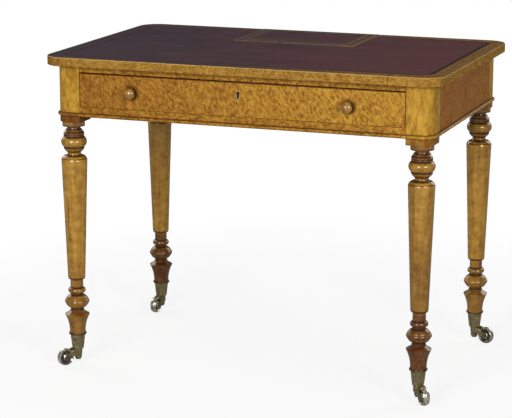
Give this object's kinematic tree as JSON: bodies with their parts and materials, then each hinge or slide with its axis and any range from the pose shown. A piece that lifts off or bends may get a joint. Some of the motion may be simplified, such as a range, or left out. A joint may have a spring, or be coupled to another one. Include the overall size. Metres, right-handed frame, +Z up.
{
  "type": "writing table",
  "caption": "Maple writing table with a leather-lined top, a lidded well at the back, a long frieze drawer and turned legs on brass castors.",
  "frame": {"origin": "on the floor under the middle of the top", "axes": "+X along the front to the right, +Y to the back, +Z up"},
  "size_m": [0.935, 0.61, 0.7312],
  "materials": {
    "maple": "french polished bird's-eye maple",
    "lining": "plain unpolished wood",
    "leather": "dark red-brown worn leather",
    "brass": "dulled brass with patina",
    "steel": "dark old steel"
  },
  "bodies": {
    "table": {"leg_front_left": "maple", "leg_front_right": "maple", "leg_back_right": "maple", "leg_back_left": "maple", "front_top_rail": "maple", "front_bottom_rail": "maple", "side_apron_left": "maple", "side_apron_right": "maple", "back_apron": "maple", "base_bead_strips": "maple", "base_bead_corners": "maple", "top_border": "maple", "top_border_corners": "maple", "top_panel": "lining", "drawer_runner_left": "lining", "drawer_runner_right": "lining", "drawer_kickers": "lining", "drawer_stops": "lining", "glue_blocks": "lining", "well_walls": "lining", "well_bottom": "lining", "pen_tray": "lining", "writing_leather": "leather", "castor_cup_front_left": "brass", "castor_cup_front_right": "brass", "castor_cup_back_right": "brass", "castor_cup_back_left": "brass", "lid_hinge_table_leaves": "brass", "lid_hinge_table_screws": "brass", "castor_cup_screws": "brass", "castor_pintles": "steel", "top_screws": "steel", "lid_hinge_pins": "steel"},
    "drawer": {"drawer_front": "maple", "drawer_side_left": "lining", "drawer_side_right": "lining", "drawer_back": "lining", "drawer_bottom": "lining", "knob_left": "maple", "knob_right": "maple", "lock_case": "brass", "lock_screws": "steel", "escutcheon": "brass"},
    "lock_bolt": {"lock_bolt": "steel"},
    "lid": {"lid_panel": "maple", "lid_leather": "leather", "lid_hinge_lid_leaves": "brass", "lid_hinge_lid_screws": "brass"},
    "castor_front_left": {"castor_horn_front_left": "brass", "castor_axle_front_left": "steel"},
    "wheel_front_left": {"castor_wheel_front_left": "brass"},
    "castor_front_right": {"castor_horn_front_right": "brass", "castor_axle_front_right": "steel"},
    "wheel_front_right": {"castor_wheel_front_right": "brass"},
    "castor_back_right": {"castor_horn_back_right": "brass", "castor_axle_back_right": "steel"},
    "wheel_back_right": {"castor_wheel_back_right": "brass"},
    "castor_back_left": {"castor_horn_back_left": "brass", "castor_axle_back_left": "steel"},
    "wheel_back_left": {"castor_wheel_back_left": "brass"}
  },
  "joints": [
    {"name": "drawer_slide", "type": "slide", "parent": "table", "child": "drawer", "axis": [0, -1, 0], "range_m": [0, 0.27]},
    {"name": "lock_bolt_slide", "type": "slide", "parent": "drawer", "child": "lock_bolt", "axis": [0, 0, 1], "range_m": [0, 0.007]},
    {"name": "lid_hinge", "type": "hinge", "parent": "table", "child": "lid", "pos_m": [0, 0.302, 0.718], "axis": [-1, 0, 0], "range_deg": [0, 105]},
    {"name": "swivel_front_left", "type": "hinge", "parent": "table", "child": "castor_front_left", "pos_m": [-0.413, -0.2505, 0.03], "axis": [0, 0, 1], "continuous": true},
    {"name": "roll_front_left", "type": "hinge", "parent": "castor_front_left", "child": "wheel_front_left", "pos_m": [-0.4325, -0.27835, 0.02], "axis": [0.8192, -0.5736, 0], "continuous": true},
    {"name": "swivel_front_right", "type": "hinge", "parent": "table", "child": "castor_front_right", "pos_m": [0.413, -0.2505, 0.03], "axis": [0, 0, 1], "continuous": true},
    {"name": "roll_front_right", "type": "hinge", "parent": "castor_front_right", "child": "wheel_front_right", "pos_m": [0.43393, -0.27729, 0.02], "axis": [0.788, 0.6157, 0], "continuous": true},
    {"name": "swivel_back_right", "type": "hinge", "parent": "table", "child": "castor_back_right", "pos_m": [0.413, 0.2505, 0.03], "axis": [0, 0, 1], "continuous": true},
    {"name": "roll_back_right", "type": "hinge", "parent": "castor_back_right", "child": "wheel_back_right", "pos_m": [0.44495, 0.23887, 0.02], "axis": [0.342, 0.9397, 0], "continuous": true},
    {"name": "swivel_back_left", "type": "hinge", "parent": "table", "child": "castor_back_left", "pos_m": [-0.413, 0.2505, 0.03], "axis": [0, 0, 1], "continuous": true},
    {"name": "roll_back_left", "type": "hinge", "parent": "castor_back_left", "child": "wheel_back_left", "pos_m": [-0.41419, 0.21652, 0.02], "axis": [0.9994, -0.0349, 0], "continuous": true}
  ]
}
